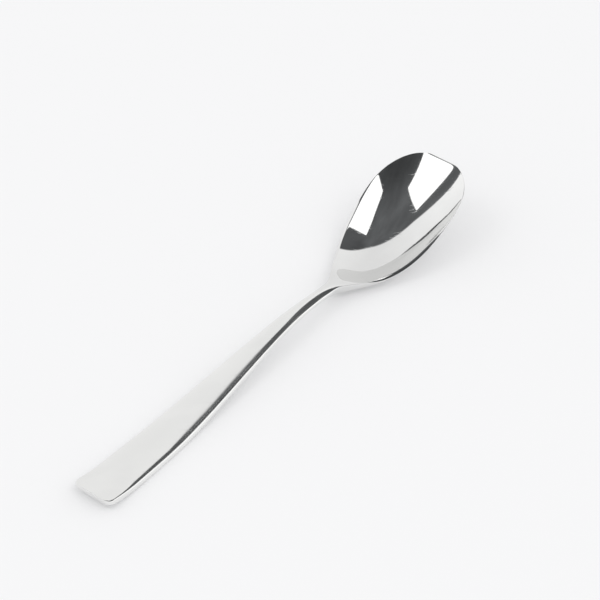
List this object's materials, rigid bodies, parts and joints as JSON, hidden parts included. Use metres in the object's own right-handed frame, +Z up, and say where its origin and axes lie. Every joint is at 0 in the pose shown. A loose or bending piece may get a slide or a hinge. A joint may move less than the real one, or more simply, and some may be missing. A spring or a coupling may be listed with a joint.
{
  "type": "tablespoon",
  "caption": "Stainless-steel tablespoon pressed in one piece: deep egg-shaped bowl with a raised tip, slim arched neck and domed handle that widens to a square, turned-up end.",
  "frame": {"origin": "on the table, under the middle of the spoon's length and width", "axes": "+X along the spoon from the handle's end to the bowl's tip, +Z up from the table the spoon lies on, +Y to the spoon's left"},
  "size_m": [0.2014, 0.0378, 0.0238],
  "materials": {
    "polished_steel": "polished stainless steel, mirror-bright in the bowl and softly satin on the handle"
  },
  "bodies": {
    "root": {"spoon": "polished_steel"}
  },
  "joints": []
}
